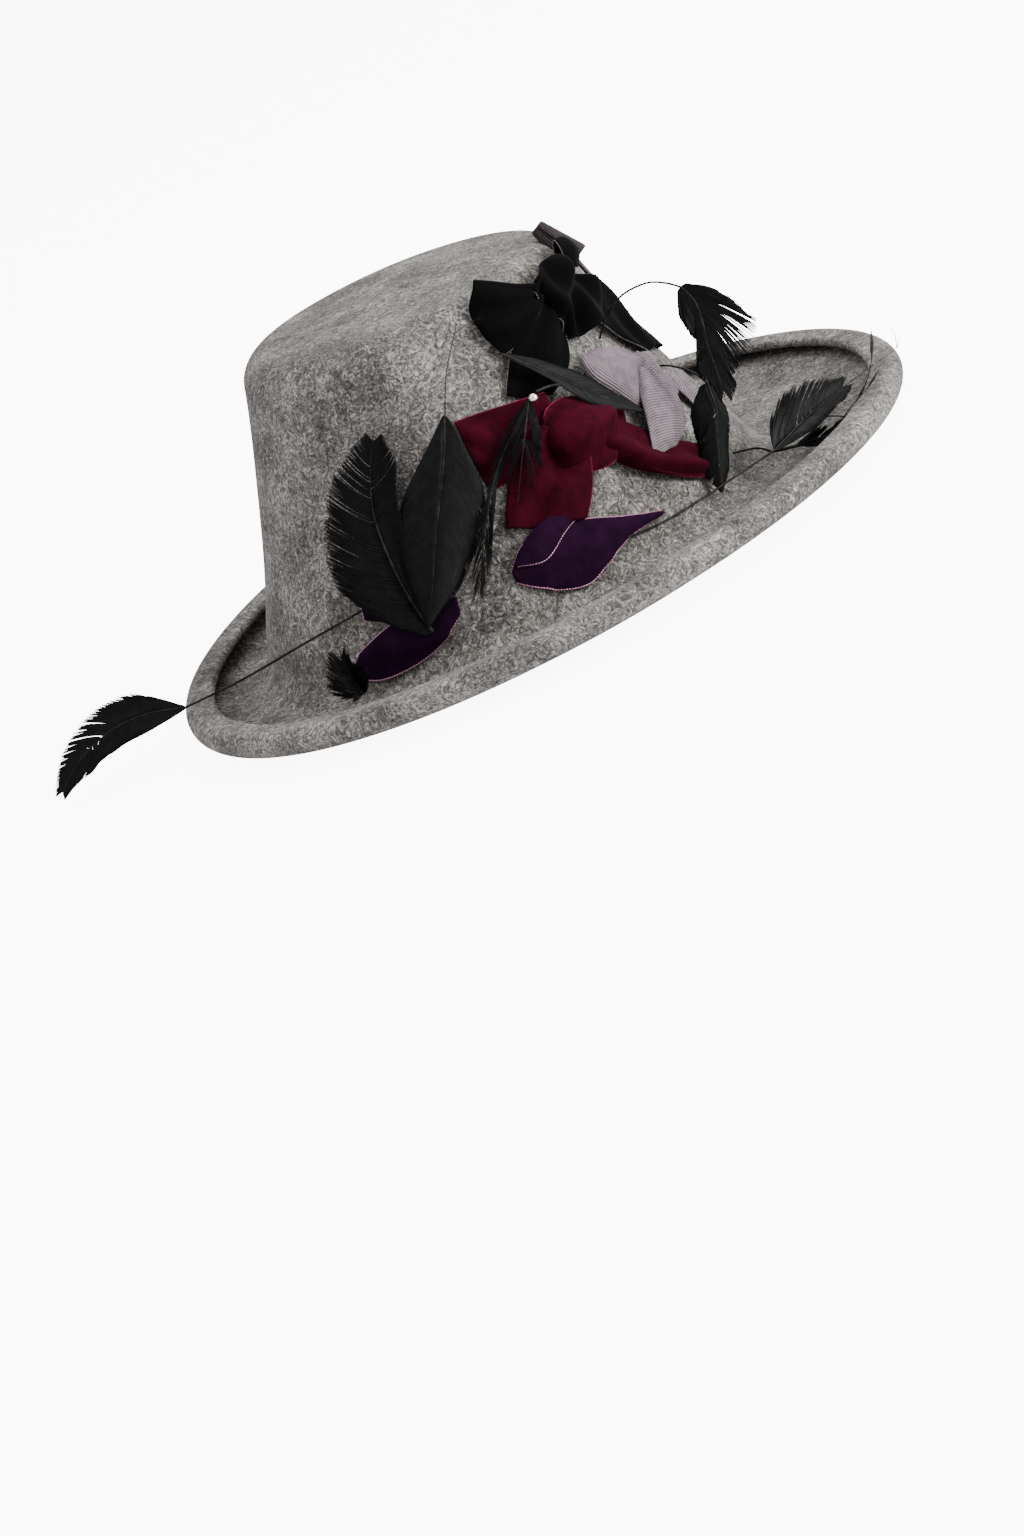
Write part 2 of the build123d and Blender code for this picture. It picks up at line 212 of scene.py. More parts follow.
def along_line(line, pitch):
    """Points every pitch millimetres along a line."""
    s = run_length(line)
    even = np.linspace(0, s[-1], max(int(s[-1] / pitch), 4))
    return np.stack([np.interp(even, s, line[:, k]) for k in range(3)], axis=1), even


# ---- the felt's surface ---------------------------------------------------------------------
def felt_line(run, inset=0.0):
    """Centre, height, half axes and tilt of the felt's level line, run mm up from the base line.

    Up the side both half axes follow rise + hollow * rise * (1 - rise). Below nought the line
    turns through a quarter round of the flare, then goes out along the brim's dish, whose height
    climbs with the 1.6th power of its share of the way out.
    """
    rise = np.maximum(run, 0) / SIDE_RUN
    turn = np.radians(90 * np.clip(1 + run / FLARE_RUN, 0, 1))
    share = np.clip(-run - FLARE_RUN, 0, BRIM_RUN) / BRIM_RUN
    swell = rise + HOLLOW * rise * (1 - rise)
    reach = np.where(run < 0, (FLARE + inset) * (1 - np.sin(turn)), 0) - inset
    reach = np.where(share > 0, FLARE, reach)
    half = [HEAD[k] + reach + (TIP[k] - HEAD[k]) * swell
            + (ROLL_LINE[k] - HEAD[k] - FLARE) * share for k in (0, 1)]
    centre = [TIP_SHIFT[k] * rise + RIM_SHIFT[k] * share**1.2 for k in (0, 1)]
    foot = FELT - inset
    climb = np.clip((share - 0.18) / 0.82, 0, 1) ** 1.6
    height = (foot + (BASE_Z - foot) * (1 - np.cos(turn)) + (TIP_Z - BASE_Z) * rise + DISH_Z * climb)
    return centre, height, half, 1 - np.cos(turn), share


def ring_point(angle, centre, height, half, tilt, share):
    """Points round level lines: ellipses whose height falls with the slope, waved at the rim."""
    c, s = np.cos(angle), np.sin(angle)
    x, y = half[0] * c, half[1] * s
    wave = (RIM_WAVE[0] * np.cos(2 * angle) + RIM_WAVE[1] * np.sin(2 * angle)) * share**3
    z = height + tilt * (SLOPE[0] * x + SLOPE[1] * y) + wave
    return np.stack(np.broadcast_arrays(x + centre[0], y + centre[1], z), axis=-1)


def felt_surface(angle, run):
    """Point on the felt's outer face at an angle in radians, run mm up from the base line."""
    return ring_point(angle, *felt_line(run))


def on_felt(angle, run, out):
    """Point out mm off the felt's outer face along its normal."""
    across = felt_surface(angle + 0.01, run) - felt_surface(angle - 0.01, run)
    up = felt_surface(angle, run + 0.5) - felt_surface(angle, run - 0.5)
    return felt_surface(angle, run) + unit(np.cross(across, up)) * np.asarray(out)[..., None]


def on_wall(place, xyo):
    """Millimetres right, up and out from a place on the crown, laid on its curved side."""
    angle, run = np.radians(place[0]), place[1] * SIDE_RUN
    per_radian = np.linalg.norm(felt_surface(angle + 0.5, run) - felt_surface(angle - 0.5, run))
    return on_felt(angle + xyo[..., 0] / per_radian, run + xyo[..., 1], xyo[..., 2])


def make_felt():
    """The whole felt as one closed wall: its section's line carried round the oval.

    The line goes from the middle of the tip over the rounded edge, down the side, round the
    flare, out along the brim, round inside the roll to the hem's cut edge, and back by the
    other face, which lies one felt thickness away, to the middle of the tip inside.
    """
    columns = FELT_COLUMNS
    angle = np.linspace(0, 2 * np.pi, columns, endpoint=False)[None, :]
    edge_run = SIDE_RUN * (TIP_Z - TIP_ROUND - BASE_Z) / (TIP_Z - BASE_Z)

    def tip(inset, turns, shares):
        """Rounded edge and domed tip: a quarter round of the edge's radius, then a dome."""
        turns = np.radians(turns)[:, None]
        radius = TIP_ROUND - inset
        z = TIP_Z - TIP_ROUND + radius * np.sin(turns)
        c, _, half, _, share = felt_line((z - BASE_Z) / (TIP_Z - BASE_Z) * SIDE_RUN, 0.0)
        back = TIP_ROUND - radius * np.cos(turns)
        edge = ring_point(angle, c, z, [half[0] - back, half[1] - back], 1.0, share)
        q = shares[:, None]
        last = [half[k][-1:] - back[-1:] for k in (0, 1)]
        dome = z[-1:] + TIP_DOME * (1 - q**2) * (1.4 - 0.4 * q)
        flat = ring_point(angle, [c[0][-1:], c[1][-1:]], dome, [last[0] * q, last[1] * q], q, 0 * q)
        return edge, flat

    turns = np.linspace(0, 90, 11)
    shares = np.linspace(0.94, 0.0, 16)
    edge_out, flat_out = tip(0.0, turns, shares)
    edge_in, flat_in = tip(FELT, turns, shares)
    run = np.concatenate([np.linspace(edge_run, 0, 34)[1:], -np.linspace(0, FLARE_RUN, 13)[1:],
                          -FLARE_RUN - np.linspace(0, BRIM_RUN, 30)[1:]])[:, None]
    wall_out = ring_point(angle, *felt_line(run))
    wall_in = ring_point(angle, *felt_line(run, FELT))

    def roll(radius, turn, slide):
        """Round the roll's middle line at a turn from below outwards, slid inwards by slide."""
        turn = np.radians(np.asarray(turn, float))[:, None]
        slide = np.asarray(slide, float)[:, None]
        half = [ROLL_LINE[k] + radius * np.sin(turn) - slide for k in (0, 1)]
        z = ROLL_Z - radius * np.cos(turn) - 0.6 * slide / HEM_IN
        return ring_point(angle, RIM_SHIFT, z, half, 0.0, 1.0)

    inner = ROLL_R - FELT
    roll_in = roll(inner, np.append(np.linspace(20, 180, 8), [180] * 4), [0] * 8 + [1.8, 3.6, 5.4, 6.6])
    hem = roll(inner + FELT / 2, [180] * 3, [HEM_IN, HEM_IN + 0.5, HEM_IN])
    hem[0, ..., 2] -= FELT * 0.36
    hem[2, ..., 2] += FELT * 0.36
    roll_out = roll(ROLL_R, np.append([180] * 4, np.linspace(180, 0, 16)), [6.6, 5.4, 3.6, 1.8] + [0] * 16)
    sheet = np.concatenate([flat_out[-2::-1], edge_out[::-1], wall_out, roll_in, hem, roll_out,
                            wall_in[-2::-1], edge_in, flat_in[:-1]])
    # hand-blocked unevenness: slow waves up and round the crown, under half a millimetre high
    x, y, z = np.moveaxis(sheet, -1, 0)
    round_it = np.arctan2(y, x)
    uneven = 0.35 * np.sin(3 * round_it + z / 19) + 0.25 * np.sin(5 * round_it - z / 11 + 1.0)
    sheet = sheet + uneven[..., None] * np.stack([np.cos(round_it), np.sin(round_it), 0 * z], axis=-1) \
        * np.clip((z - 12) / 20, 0, 1)[..., None]
    rows = len(sheet)
    poles = np.stack([flat_out[-1].mean(axis=0), flat_in[-1].mean(axis=0)])
    points = np.concatenate([sheet.reshape(-1, 3), poles])
    ring = np.arange(columns)
    after = (ring + 1) % columns
    last = (rows - 1) * columns
    pole = np.full(columns, rows * columns)
    fans = np.concatenate([np.stack([pole, after, ring], axis=1),
                           np.stack([pole + 1, last + ring, last + after], axis=1)])
    return make_mesh("felt_body", points, [grid_faces(rows, columns, wrap=True), fans])


# ---- materials ---------------------------------------------------------------------------------
def new_finish(name, colour, roughness, **sockets):
    """Material whose even values are set on the shader's own sockets."""
    m = bpy.data.materials.new(name)
    m.use_nodes = True
    shader = m.node_tree.nodes["Principled BSDF"]
    shader.inputs["Base Color"].default_value = (*colour, 1)
    shader.inputs["Roughness"].default_value = roughness
    for socket, value in sockets.items():
        shader.inputs[socket.replace("_", " ")].default_value = value
    return m, m.node_tree, shader


def node(tree, kind, inputs=(), **settings):
    """Shader node with its settings, and its inputs given as values or other nodes' sockets."""
    n = tree.nodes.new("ShaderNode" + kind)
    for key, value in settings.items():
        setattr(n, key, value)
    for key, value in dict(inputs).items():
        if isinstance(value, bpy.types.NodeSocket):
            tree.links.new(value, n.inputs[key])
        else:
            n.inputs[key].default_value = value
    return n


def place_of(tree, stretch=(1, 1, 1)):
    """Object coordinates, stretched for a pattern that is longer one way."""
    coords = node(tree, "TexCoord").outputs["Object"]
    return node(tree, "Mapping", {"Vector": coords, "Scale": stretch}).outputs["Vector"]


def noise(tree, vector, scale, detail=3.0, distortion=0.0, rough=0.55):
    """Noise at a scale per metre."""
    return node(tree, "TexNoise", {"Vector": vector, "Scale": scale, "Detail": detail,
                                   "Roughness": rough, "Distortion": distortion}).outputs["Fac"]


def math(tree, operation, a, b=0.5):
    """One sum."""
    return node(tree, "Math", {0: a, 1: b}, operation=operation).outputs[0]


def ramp(tree, fac, stops):
    """Colours at places from 0 to 1."""
    n = node(tree, "ValToRGB", {"Fac": fac})
    band = n.color_ramp.elements
    while len(band) < len(stops):
        band.new(0.5)
    for element, (at, colour) in zip(band, stops):
        element.position = at
        element.color = (*colour, 1)
    return n.outputs["Color"]


def bump(tree, shader, height, distance, strength=1.0):
    """Relief of a height in metres."""
    b = node(tree, "Bump", {"Height": height, "Distance": distance, "Strength": strength})
    tree.links.new(b.outputs["Normal"], shader.inputs["Normal"])


def felt_finish():
    """Melange wool felt: swirled light and dark fibres a millimetre or two long."""
    m, t, s = new_finish("wool_felt", (0.13, 0.125, 0.118), 1.0, Sheen_Weight=0.05,
                         Sheen_Roughness=0.6, Specular_IOR_Level=0.15)
    where = place_of(t)
    swirl = noise(t, where, 260, 4, 2.8, 0.62)
    fleck = noise(t, where, 700, 3, 3.2, 0.6)
    cloud = noise(t, where, 45, 3)
    mix = math(t, "ADD", math(t, "MULTIPLY", swirl, 0.55), math(t, "MULTIPLY", fleck, 0.45))
    mix = math(t, "ADD", mix, math(t, "MULTIPLY", math(t, "SUBTRACT", cloud, 0.5), 0.25))
    colour = ramp(t, mix, [(0.36, (0.010, 0.009, 0.008)), (0.46, (0.062, 0.057, 0.051)),
                           (0.53, (0.125, 0.117, 0.106)), (0.64, (0.36, 0.345, 0.32))])
    t.links.new(colour, s.inputs["Base Color"])
    bump(t, s, math(t, "ADD", swirl, noise(t, where, 2600, 2, 1.0)), 0.0006, 0.55)
    return m


def velvet_finish(name, dark, light, sheen, tint):
    """Short pile: crushed lighter and darker in places, with a soft sheen."""
    m, t, s = new_finish(name, dark, 0.85, Sheen_Weight=sheen, Sheen_Roughness=0.35,
                         Sheen_Tint=(*tint, 1), Specular_IOR_Level=0.03)
    where = place_of(t)
    crush = math(t, "ADD", math(t, "MULTIPLY", noise(t, where, 140, 3, 0.8), 0.7),
                 math(t, "MULTIPLY", noise(t, where, 1500, 2), 0.3))
    t.links.new(ramp(t, crush, [(0.32, dark), (0.72, light)]), s.inputs["Base Color"])
    bump(t, s, noise(t, where, 3200, 2), 0.0002, 0.5)
    return m


def ribbed_finish(name, shaded_groove, lit_crest, pitch, roughness=0.6):
    """Grosgrain: ribs across the ribbon, pitch mm apart along it, with fine cross threads, painted shade in
    the grooves and painted light on the crests, over random stains.
    """
    m, t, s = new_finish(name, lit_crest, roughness, Sheen_Weight=0.03, Specular_IOR_Level=0.25)
    lie = node(t, "SeparateXYZ", {0: node(t, "Attribute", attribute_name="lie").outputs["Vector"]})
    rib = math(t, "SINE", math(t, "MULTIPLY", lie.outputs["X"], 2 * np.pi / pitch))
    thread = math(t, "SINE", math(t, "MULTIPLY", lie.outputs["Y"], 2 * np.pi / 0.45))
    stain = noise(t, place_of(t), 260, 3)
    height = math(t, "ADD", rib, math(t, "MULTIPLY", thread, 0.25))
    # colour: painted shade in the rib grooves and painted light on the crests, added to random stains
    rib_shade_and_stain = math(t, "ADD", math(t, "MULTIPLY", rib, 0.22), stain)
    t.links.new(ramp(t, rib_shade_and_stain, [(0.25, shaded_groove), (0.75, lit_crest)]), s.inputs["Base Color"])
    bump(t, s, height, 0.00022, 0.8)
    return m


def plume_finish(name, dark, light, roughness):
    """Feather barbs: near black with a cool gloss, lighter in streaks."""
    m, t, s = new_finish(name, dark, roughness, Specular_IOR_Level=0.07)
    streak = noise(t, place_of(t), 260, 3, 0.5)
    t.links.new(ramp(t, streak, [(0.40, dark), (0.78, light)]), s.inputs["Base Color"])
    bump(t, s, noise(t, place_of(t), 2500, 2), 0.0001, 0.3)
    return m


def metal_finish(name, colour, roughness, metallic=1.0):
    """Drawn or plated metal with faint scratches."""
    m, t, s = new_finish(name, colour, roughness, Metallic=metallic)
    mark = noise(t, place_of(t, (1, 1, 4)), 1800, 3)
    worn = tuple(0.8 * c for c in colour)
    t.links.new(ramp(t, mark, [(0.3, worn), (0.7, colour)]), s.inputs["Base Color"])
    bump(t, s, mark, 0.00005, 0.4)
    return m


FELT_CLOTH = felt_finish()
BLACK_VELVET = velvet_finish("black_velvet", (0.00035, 0.00031, 0.00035), (0.0012, 0.0012, 0.0013),
                             0.05, (0.45, 0.42, 0.45))
BURGUNDY_VELVET = velvet_finish("burgundy_velvet", (0.0096, 0.00024, 0.0019), (0.035, 0.00084, 0.0063),
                                0.05, (0.8, 0.2, 0.4))
PURPLE_VELVET = velvet_finish("purple_velvet", (0.0045, 0.0006, 0.0053), (0.013, 0.0019, 0.014),
                              0.03, (0.6, 0.25, 0.7))
# grosgrain colours: the darker end is painted shade in the rib grooves, the lighter end painted light on
# the crests, with random stains between
GREY_GROSGRAIN = ribbed_finish("grey_grosgrain", (0.070, 0.054, 0.062), (0.175, 0.138, 0.155), 1.0)
BROWN_GROSGRAIN = ribbed_finish("brown_grosgrain", (0.0035, 0.0018, 0.0020), (0.020, 0.010, 0.011),
                                0.9, 0.5)
BLACK_GROSGRAIN = ribbed_finish("sweatband_grosgrain", (0.006, 0.006, 0.007), (0.022, 0.021, 0.023), 1.1)
SATIN = velvet_finish("lining_satin", (0.020, 0.018, 0.019), (0.045, 0.042, 0.044), 0.2, (0.8, 0.8, 0.85))
GREY_EDGE = velvet_finish("grey_wired_edge", (0.012, 0.011, 0.011), (0.13, 0.122, 0.12), 0.05, (1, 1, 1))
BURGUNDY_EDGE = velvet_finish("burgundy_wired_edge", (0.030, 0.001, 0.006), (0.17, 0.016, 0.04),
                              0.05, (1, 0.6, 0.7))
PINK_EDGE = metal_finish("pink_lurex_edge", (0.30, 0.13, 0.20), 0.32, 0.6)
PLUME = plume_finish("black_plume", (0.00048, 0.00052, 0.00056), (0.0024, 0.0026, 0.0028), 0.42)
SATIN_PLUME = plume_finish("satin_plume", (0.0011, 0.0013, 0.0013), (0.0036, 0.0041, 0.0041), 0.45)
QUILL = plume_finish("quill", (0.004, 0.0038, 0.0038), (0.022, 0.021, 0.020), 0.4)
CRIMP = metal_finish("bright_crimp", (0.80, 0.79, 0.77), 0.18)
WIRE = metal_finish("millinery_wire", (0.45, 0.45, 0.46), 0.35)
THREAD = velvet_finish("sewing_thread", (0.08, 0.075, 0.07), (0.16, 0.15, 0.14), 0.2, (1, 1, 1))

for name, finish in (("brim_wire", WIRE), ("tack_stitches", THREAD), ("crimp_bead", CRIMP),
                     ("feather_hook_wire", QUILL)):
    for slot_of in bpy.data.objects[name].material_slots:
        slot_of.material = finish

piece("felt_body", make_felt(), FELT_CLOTH, "hat",
      ("felt_crown", "felt_tip", "felt_flare", "felt_brim", "felt_brim_edge"))

# ---- floor, light and camera ---------------------------------------------------------------------
CAMERA_TURN, CAMERA_RISE, CAMERA_ROLL = 41.81, 15.41, -24.70   # degrees
CAMERA_AWAY = 1.5481                                           # metres from the origin
LENS, SENSOR = 100.0, 36.0
AIM_X, AIM_Y = 0.0069, -0.1315        # where the origin stands off the middle, in frame heights


def set_camera():
    """Camera on a ball round the origin, rolled, then turned so the origin stands off the middle."""
    turn, rise, roll = np.radians([CAMERA_TURN, CAMERA_RISE, CAMERA_ROLL])
    back = np.array([np.sin(turn) * np.cos(rise), -np.cos(turn) * np.cos(rise), np.sin(rise)])
    right = np.array([np.cos(turn), np.sin(turn), 0])
    up = np.cross(back, right)
    right, up = right * np.cos(roll) + up * np.sin(roll), up * np.cos(roll) - right * np.sin(roll)
    seen = unit(np.array([AIM_X * SENSOR / LENS, -AIM_Y * SENSOR / LENS, -1.0]))
    ahead = np.array([0, 0, -1.0])
    v, c = np.cross(ahead, seen), ahead @ seen
    skew = np.array([[0, -v[2], v[1]], [v[2], 0, -v[0]], [-v[1], v[0], 0]])
    axes = (np.eye(3) + skew + skew @ skew / (1 + c)) @ np.stack([right, up, back])
    data = bpy.data.cameras.new("camera")
    data.lens, data.sensor_width = LENS, SENSOR
    data.clip_start, data.clip_end = 0.05, 50
    camera = bpy.data.objects.new("camera", data)
    bpy.context.scene.collection.objects.link(camera)
    place = np.eye(4)
    place[:3, :3], place[:3, 3] = axes.T, back * CAMERA_AWAY
    camera.matrix_world = Matrix(place.tolist())
    bpy.context.scene.camera = camera
    return axes


def set_light(name, towards, away, size, power):
    """Square soft light at a direction and distance, facing the hat."""
    data = bpy.data.lights.new(name, "AREA")
    data.energy, data.size = power, size
    light = bpy.data.objects.new(name, data)
    bpy.context.scene.collection.objects.link(light)
    back = unit(np.array(towards, float))
    side = unit(np.cross([0, 0, 1.0], back))
    place = np.eye(4)
    place[:3, 0], place[:3, 1], place[:3, 2], place[:3, 3] = side, np.cross(back, side), back, back * away
    light.matrix_world = Matrix(place.tolist())


view_right, view_up, view_back = set_camera()
set_light("key", 0.75 * view_right + 0.55 * view_up + 0.45 * view_back, 1.5, 0.7, 46)
set_light("fill", -0.7 * view_right + 0.3 * view_up + 0.8 * view_back, 1.8, 1.4, 12)
set_light("top", (0.1, 0.3, 1.0), 1.6, 1.6, 26)
world = bpy.data.worlds.new("studio")
world.use_nodes = True
world.node_tree.nodes["Background"].inputs[0].default_value = (0.97, 0.96, 1.0, 1)
world.node_tree.nodes["Background"].inputs[1].default_value = 1.0
bpy.context.scene.world = world

FLOOR_REACH, FLOOR_Z = 9.0, -0.0002
floor_mesh = bpy.data.meshes.new("floor")
floor_mesh.from_pydata([(x * FLOOR_REACH, y * FLOOR_REACH, FLOOR_Z)
                        for x, y in ((-1, -1), (1, -1), (1, 1), (-1, 1))], [], [(0, 1, 2, 3)])
floor = bpy.data.objects.new("floor", floor_mesh)
bpy.context.scene.collection.objects.link(floor)
paper, paper_tree, paper_shader = new_finish("floor_paper", (0.90, 0.895, 0.91), 0.8,
                                             Emission_Color=(1, 0.99, 1, 1))
BACKDROP_GLOW = 9.0         # the paper looks lit through, and throws none of that on the hat
glow = math(paper_tree, "MULTIPLY", node(paper_tree, "LightPath").outputs["Is Camera Ray"], BACKDROP_GLOW)
paper_tree.links.new(glow, paper_shader.inputs["Emission Strength"])
grain = noise(paper_tree, place_of(paper_tree), 400, 2)
paper_tree.links.new(ramp(paper_tree, grain, [(0, (0.89, 0.885, 0.90)), (1, (0.92, 0.915, 0.93))]),
                     paper_shader.inputs["Base Color"])
floor_mesh.materials.append(paper)


# ---- inside: sweatband, its bow and the lining ----------------------------------------------------
def inside_band(name, low, high, inset, swell, thick, nodes, finish):
    """Cloth band round the inside between two rises: its inset plus swell(angle, height share)."""
    angle = np.linspace(np.pi / 2, 5 * np.pi / 2, 433)[:, None]
    share = np.linspace(0, 1, 13)[None, :]
    run = SIDE_RUN * (low + (high - low) * share)
    grid = ring_point(angle, *felt_line(run, inset + swell(angle, share)))
    band = piece(name, slab(name, grid, thick), finish, "hat", nodes)
    return band


inside_band("lining_band", 0.31, 0.90, FELT + 0.75,
            lambda a, h: 0.30 * np.sin(74 * a + 1.5 * np.sin(9 * a)) * (0.35 + 0.65 * h),
            0.4, ("lining_side",), SATIN)
inside_band("sweatband_ribbon_piece", 0.02, 0.30, FELT + 0.85,
            lambda a, h: 0.10 * np.sin(23 * a) - 0.35 * (2 * h - 1) ** 8,
            0.9, ("sweatband",), BLACK_GROSGRAIN)


def lining_disc():
    """Tip lining: a square grid bent to a disc, x = u sqrt(1 - v*v/2), sagging in the middle."""
    u, v = np.meshgrid(np.linspace(-1, 1, 41), np.linspace(-1, 1, 41), indexing="ij")
    x, y = u * np.sqrt(1 - v * v / 2), v * np.sqrt(1 - u * u / 2)
    centre, height, half, tilt, share = felt_line(np.array(0.905 * SIDE_RUN), FELT + 0.3)
    x, y = half[0] * x, half[1] * y
    reach = (x / half[0]) ** 2 + (y / half[1]) ** 2
    sag = 0.5 - 1.2 * (1 - reach) + 0.12 * np.sin(np.arctan2(y, x) * 30) * reach**4
    grid = np.stack([x + centre[0], y + centre[1], height + SLOPE[0] * x + SLOPE[1] * y + sag], axis=-1)
    return slab("lining_disc", grid, 0.4)


disc = piece("lining_disc", lining_disc(), SATIN, "hat", ("lining_tip",))


# ---- ribbons ----------------------------------------------------------------------------------
RIBBON_GRID = (57, 33)
RIBBON_OFF_FELT = 0.55
RIBBON_SLOT = {BLACK_VELVET: "black_velvet", BURGUNDY_VELVET: "burgundy_velvet",
               PURPLE_VELVET: "purple_velvet", GREY_GROSGRAIN: "grey_grosgrain",
               BROWN_GROSGRAIN: "brown_grosgrain"}


def edging(name, line, radius, pitch, finish, slot):
    """Wired picot edge: a fine tube along an edge whose radius swells once every pitch."""
    line, s = along_line(line, pitch / 4)
    thick = radius * (1 + 0.4 * np.sin(2 * np.pi * s / pitch))
    return piece(name, tubes(name, tube_sections(line, thick, 6)[None]), finish, "hat")


def ribbon(name, place, net, finish, nodes, thick=0.8, folds=(), edge=None,
           sides=(0, -1), slant=(0, 0)):
    """Ribbon cut to flat metres: a smooth surface through a given net of (right, up, out).

    Each fold (depth, u, v, turn) adds depth * sin(2 pi (u * along + v * across) + turn), and
    each millimetre that the ribbon puffs out shifts it by the slant.
    """
    slot = RIBBON_SLOT[finish]
    grid = smooth_net(net, *RIBBON_GRID)
    grid[..., :2] += grid[..., 2:] * np.array(slant, float)
    u, v = np.meshgrid(*(np.linspace(0, 1, n) for n in RIBBON_GRID), indexing="ij")
    for depth, along, across, turn in folds:
        grid[..., 2] += depth * np.sin(2 * np.pi * (along * u + across * v) + turn)
    grid[..., 2] = np.maximum(grid[..., 2], RIBBON_OFF_FELT)
    grid = on_wall(place, grid)
    cloth = piece(name, slab(name, grid, thick), finish, "hat", nodes)
    trims = [edging(f"{name}_edge{k}", grid[:, side], *edge, slot)
             for k, side in enumerate(sides)] if edge else []
    return grid


GREY_WIRE = (0.20, 0.9, GREY_EDGE)
BURGUNDY_WIRE = (0.24, 1.1, BURGUNDY_EDGE)
PINK_PICOT = (0.32, 1.0, PINK_EDGE)

ribbon("black_left_loop", (346, 0.91),
       [[(15, .5, 4), (15.5, -1.5, 5), (15, -3, 5), (14, -5, 4)],
        [(8, 4.5, 4), (8, .5, 6.5), (7.5, -4.5, 6.5), (8.5, -9.5, 4)],
        [(-.5, 11, 3.4), (-3, 3.5, 5.5), (-3.5, -5, 5.5), (-3, -13.6, 3.2)],
        [(-5, 13.8, 2.2), (-10.5, 5.5, 2.6), (-11.8, -4, 2.6), (-9.2, -14.5, 2.0)],
        [(-1.5, 11, 1.3), (-4, 3.5, 1.2), (-4.5, -5, 1.2), (-4.5, -13, 1.2)],
        [(13, 1, 1.6), (13.5, -1.5, 1.6), (13, -3, 1.6), (12, -5, 1.6)]],
       BLACK_VELVET, ("black_left_lobe",),
       folds=((1.2, 0.2, 1.3, 0.5), (0.5, 1.5, 2.4, 0)), edge=GREY_WIRE, slant=(-0.5, 0.1))
ribbon("black_lower_loop", (345, 0.69),
       [[(15, 20, 3), (17, 19, 4.2), (19.5, 18, 4.2), (22, 16.5, 3)],
        [(3, 14, 2.6), (9, 12, 4.2), (15, 9.5, 4), (20.5, 7, 2.2)],
        [(-7, 7, 2.4), (-1, 4, 3.6), (6, 0, 3.4), (14, -4, 1.8)],
        [(-12, 1, 1.8), (-6, -3, 2.6), (0, -6, 2.6), (8, -9, 1.6)],
        [(-16, -5, 1.4), (-11, -8, 2), (-5, -10.5, 2), (-1, -12.5, 1.4)]],
       BLACK_VELVET, ("black_lower_lobe",),
       folds=((0.8, 0.3, 1.6, 0.0), (0.35, 1.8, 2.2, 1)), edge=GREY_WIRE, slant=(-0.5, 0.1))
ribbon("black_bow_knot", (11, 0.86),
       [[(-14, 4, 3), (-7, 7, 5), (3, 9, 6), (12, 8, 3)],
        [(-14, -2, 4), (-6, -1, 7), (5, 0, 7.5), (15, 1, 4)],
        [(-11, -9, 3.5), (-3, -9, 6.5), (7, -8, 7), (17, -7, 4)],
        [(-12, -17, 2), (-4, -20, 4), (6, -20, 4.5), (15, -18, 2.4)]],
       BLACK_VELVET, ("black_knot",),
       folds=((2.1, 1.6, 1.1, 0.0), (1.3, 0.6, 2.6, 1.0), (0.7, 2.6, 3.1, 2.0)), edge=GREY_WIRE,
       slant=(-1.0, 0.3))
ribbon("black_top_loop", (20, 0.93),
       [[(-5, -4, 5), (-1, -6, 5.5), (2, -7, 5)],
        [(-4, 2, 7), (2, 0, 8.5), (7, -3, 7)],
        [(-1, 6.5, 5.5), (4.5, 5, 6), (9.5, 1.5, 5.5)],
        [(-3, 2, 3.5), (2, 0, 3.2), (7, -2, 3.5)],
        [(-5, -4, 3), (-1, -6, 3), (2, -7, 3)]],
       BLACK_VELVET, ("black_small_loop",), edge=GREY_WIRE)
ribbon("black_right_end", (28, 0.62),
       [[(-22, 10, 3), (-13, 15, 5), (-4, 19, 5), (6, 18, 2.4)],
        [(-17, 2, 2.5), (-8, 5, 4.4), (2, 9, 4.4), (10.5, 9, 2)],
        [(-11, -7, 1.8), (-3, -4, 3.2), (5, -3, 3.2), (12.5, -5, 1.6)],
        [(-4, -16, 1.4), (3, -17, 2.2), (9, -19, 2.2), (14.5, -21.5, 1.4)]],
       BLACK_VELVET, ("black_right_tail",),
       folds=((0.9, 0.2, 1.8, 0.8), (0.4, 1.4, 2.9, 0)), edge=GREY_WIRE)
ribbon("brown_flat_strip", (44, 0.83),
       [[(-5, 11, .9), (-.5, 12, 1.4), (4, 11, .9)], [(-5, 0, .9), (-.5, 0, 1.4), (4, 0, .9)],
        [(-5, -13, .9), (-.5, -13.5, 1.2), (4, -13, .9)]],
       BROWN_GROSGRAIN, ("brown_strip",))
ribbon("burgundy_left_end", (321, 0.53),
       [[(24, 6, 4), (22, 0, 6), (20, -6, 6), (18, -12, 3)],
        [(12, 8.5, 3.4), (11, 2, 4.5), (10, -6, 4.5), (9, -14, 2)],
        [(1, 10.5, 2), (0, 3, 3.2), (0, -6, 3.4), (1, -15, 1.5)],
        [(-7.5, 11.3, 1.3), (-7.5, 3, 2.2), (-7, -6, 2.4), (-6, -15.5, 1.3)]],
       BURGUNDY_VELVET, ("burgundy_left_tail",),
       folds=((0.7, 1.0, 0.9, 0.4), (0.3, 2.2, 1.9, 0)), edge=BURGUNDY_WIRE)
